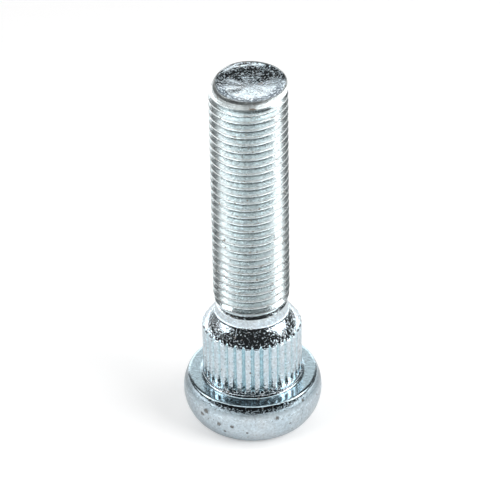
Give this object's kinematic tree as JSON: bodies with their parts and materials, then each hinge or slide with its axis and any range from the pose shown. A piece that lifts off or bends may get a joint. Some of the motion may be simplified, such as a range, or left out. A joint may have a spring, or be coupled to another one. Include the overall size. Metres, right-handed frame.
{
  "type": "wheel stud",
  "caption": "Press-in wheel stud with a round bulged head, a knurled shank, a domed shoulder and a long right-hand thread with a dished tip.",
  "frame": {"origin": "centre of the underside of the head, on the plane that the stud stands on", "axes": "+Z along the stud's axis, from the head to the tip of the thread; +X and +Y are square to it, and a groove of the knurl faces -Y"},
  "size_m": [0.0254, 0.0254, 0.071],
  "materials": {
    "zinc_plated_steel": "zinc plated with a pale blue passivation, satin, with small pits and brown specks"
  },
  "bodies": {
    "root": {"wheel_stud": "zinc_plated_steel"}
  },
  "joints": []
}
